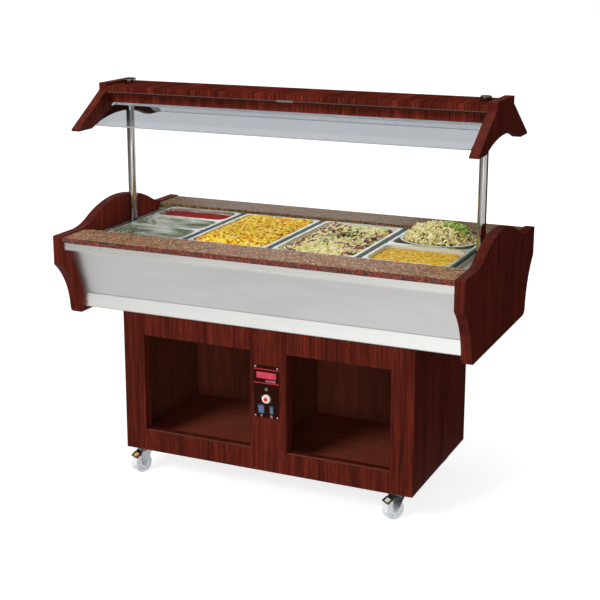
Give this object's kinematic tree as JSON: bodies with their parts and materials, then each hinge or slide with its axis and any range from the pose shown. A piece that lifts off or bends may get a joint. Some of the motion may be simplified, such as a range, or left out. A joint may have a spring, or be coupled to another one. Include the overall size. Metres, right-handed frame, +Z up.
{
  "type": "mobile heated buffet",
  "caption": "Wheeled self-service buffet: heated pan well, granite ledges and coved steel skirts on a niche base, glazed canopy on two posts.",
  "frame": {"origin": "on the floor, at the centre of the footprint", "axes": "+X along the counter to the right as seen from the control side, +Y away from the control side, +Z up"},
  "size_m": [1.6, 0.9, 1.503],
  "materials": {
    "mahogany_veneer": "satin lacquered dark red-brown veneer",
    "stainless_steel": "brushed",
    "chromed_steel": "polished",
    "granite": "polished speckled red-brown stone",
    "clear_glass": "clear toughened",
    "zinc_plate": "bright zinc",
    "wheel_nylon": "moulded light grey",
    "pedal_steel": "dark satin",
    "black_plate": "satin black",
    "white_plastic": "moulded",
    "black_plastic": "moulded",
    "blue_plastic": "moulded, translucent",
    "green_lens": "clear lens",
    "lamp_glass": "white coated tube",
    "corn": "buttered sweetcorn",
    "pasta_salad": "pasta salad",
    "gratin": "baked cheese crust",
    "noodles": "noodles with herbs",
    "sauce": "red sauce"
  },
  "bodies": {
    "root": {"base_back": "mahogany_veneer", "base_floor": "mahogany_veneer", "base_front_frame": "mahogany_veneer", "base_left_side": "mahogany_veneer", "base_right_side": "mahogany_veneer", "base_top": "mahogany_veneer", "body_floor": "stainless_steel", "canopy_bracket_left": "mahogany_veneer", "canopy_bracket_right": "mahogany_veneer", "canopy_fascias": "mahogany_veneer", "canopy_top": "mahogany_veneer", "canopy_tray": "stainless_steel", "caster_plates": "zinc_plate", "control_bodies": "black_plastic", "control_plate": "black_plate", "control_screws": "chromed_steel", "cord_gland": "black_plastic", "divider_bars": "stainless_steel", "end_panel_left": "mahogany_veneer", "end_panel_right": "mahogany_veneer", "front_skirt": "stainless_steel", "glass_panes": "clear_glass", "granite_front": "granite", "granite_rear": "granite", "heating_element": "stainless_steel", "lamp_tube": "lamp_glass", "lower_rails": "stainless_steel", "niche_lining": "mahogany_veneer", "pilot_lamp": "green_lens", "post_fittings": "chromed_steel", "posts": "chromed_steel", "rear_skirt": "stainless_steel", "top_rails": "stainless_steel", "well_deck": "stainless_steel", "well_tank": "stainless_steel"},
    "fork_front_left": {"caster_fork_front_left": "zinc_plate"},
    "wheel_front_left": {"caster_wheel_front_left": "wheel_nylon"},
    "pedal_front_left": {"brake_pedal_front_left": "pedal_steel"},
    "fork_front_right": {"caster_fork_front_right": "zinc_plate"},
    "wheel_front_right": {"caster_wheel_front_right": "wheel_nylon"},
    "pedal_front_right": {"brake_pedal_front_right": "pedal_steel"},
    "fork_rear_left": {"caster_fork_rear_left": "zinc_plate"},
    "wheel_rear_left": {"caster_wheel_rear_left": "wheel_nylon"},
    "fork_rear_right": {"caster_fork_rear_right": "zinc_plate"},
    "wheel_rear_right": {"caster_wheel_rear_right": "wheel_nylon"},
    "dial": {"thermostat_knob": "white_plastic"},
    "wide_rocker_cap": {"wide_rocker": "blue_plastic"},
    "narrow_rocker_cap": {"narrow_rocker": "blue_plastic"},
    "lift_pan_third_front": {"pan_third_front": "stainless_steel"},
    "lift_pan_third_middle": {"pan_third_middle": "stainless_steel"},
    "lift_pan_third_rear": {"pan_third_rear": "stainless_steel", "sauce_fill": "sauce"},
    "lift_pan_corn": {"pan_corn": "stainless_steel", "corn_fill": "corn"},
    "lift_pan_salad": {"pan_salad": "stainless_steel", "salad_fill": "pasta_salad"},
    "lift_pan_half_front": {"pan_half_front": "stainless_steel", "gratin_fill": "gratin"},
    "lift_pan_half_rear": {"pan_half_rear": "stainless_steel", "noodle_platter": "noodles"}
  },
  "joints": [
    {"name": "swivel_front_left", "type": "hinge", "parent": "root", "child": "fork_front_left", "pos_m": [-0.525, -0.27, 0.09], "axis": [0, 0, 1], "continuous": true},
    {"name": "roll_front_left", "type": "hinge", "parent": "fork_front_left", "child": "wheel_front_left", "pos_m": [-0.53557, -0.29266, 0.0375], "axis": [0.9063, -0.4226, 0], "continuous": true},
    {"name": "brake_front_left", "type": "hinge", "parent": "fork_front_left", "child": "pedal_front_left", "pos_m": [-0.53768, -0.29719, 0.082], "axis": [0.9063, -0.4226, 0], "range_deg": [0, 9]},
    {"name": "swivel_front_right", "type": "hinge", "parent": "root", "child": "fork_front_right", "pos_m": [0.525, -0.27, 0.09], "axis": [0, 0, 1], "continuous": true},
    {"name": "roll_front_right", "type": "hinge", "parent": "fork_front_right", "child": "wheel_front_right", "pos_m": [0.50961, -0.2897, 0.0375], "axis": [0.788, -0.6157, 0], "continuous": true},
    {"name": "brake_front_right", "type": "hinge", "parent": "fork_front_right", "child": "pedal_front_right", "pos_m": [0.50653, -0.29364, 0.082], "axis": [0.788, -0.6157, 0], "range_deg": [0, 9]},
    {"name": "swivel_rear_left", "type": "hinge", "parent": "root", "child": "fork_rear_left", "pos_m": [-0.525, 0.27, 0.09], "axis": [0, 0, 1], "continuous": true},
    {"name": "roll_rear_left", "type": "hinge", "parent": "fork_rear_left", "child": "wheel_rear_left", "pos_m": [-0.5, 0.27, 0.0375], "axis": [0, 1, 0], "continuous": true},
    {"name": "swivel_rear_right", "type": "hinge", "parent": "root", "child": "fork_rear_right", "pos_m": [0.525, 0.27, 0.09], "axis": [0, 0, 1], "continuous": true},
    {"name": "roll_rear_right", "type": "hinge", "parent": "fork_rear_right", "child": "wheel_rear_right", "pos_m": [0.5, 0.27, 0.0375], "axis": [0, -1, 0], "continuous": true},
    {"name": "thermostat_turn", "type": "hinge", "parent": "root", "child": "dial", "pos_m": [0.0175, -0.312, 0.388], "axis": [0, 1, 0], "range_deg": [0, 270]},
    {"name": "wide_rocker_tilt", "type": "hinge", "parent": "root", "child": "wide_rocker_cap", "pos_m": [-0.0035, -0.308, 0.3475], "axis": [-1, 0, 0], "range_deg": [0, 16]},
    {"name": "narrow_rocker_tilt", "type": "hinge", "parent": "root", "child": "narrow_rocker_cap", "pos_m": [0.0385, -0.308, 0.3475], "axis": [-1, 0, 0], "range_deg": [0, 16]},
    {"name": "lift_third_front", "type": "slide", "parent": "root", "child": "lift_pan_third_front", "axis": [0, 0, 1], "range_m": [0, 0.21]},
    {"name": "lift_third_middle", "type": "slide", "parent": "root", "child": "lift_pan_third_middle", "axis": [0, 0, 1], "range_m": [0, 0.21]},
    {"name": "lift_third_rear", "type": "slide", "parent": "root", "child": "lift_pan_third_rear", "axis": [0, 0, 1], "range_m": [0, 0.21]},
    {"name": "lift_corn", "type": "slide", "parent": "root", "child": "lift_pan_corn", "axis": [0, 0, 1], "range_m": [0, 0.21]},
    {"name": "lift_salad", "type": "slide", "parent": "root", "child": "lift_pan_salad", "axis": [0, 0, 1], "range_m": [0, 0.21]},
    {"name": "lift_half_front", "type": "slide", "parent": "root", "child": "lift_pan_half_front", "axis": [0, 0, 1], "range_m": [0, 0.21]},
    {"name": "lift_half_rear", "type": "slide", "parent": "root", "child": "lift_pan_half_rear", "axis": [0, 0, 1], "range_m": [0, 0.21]}
  ]
}
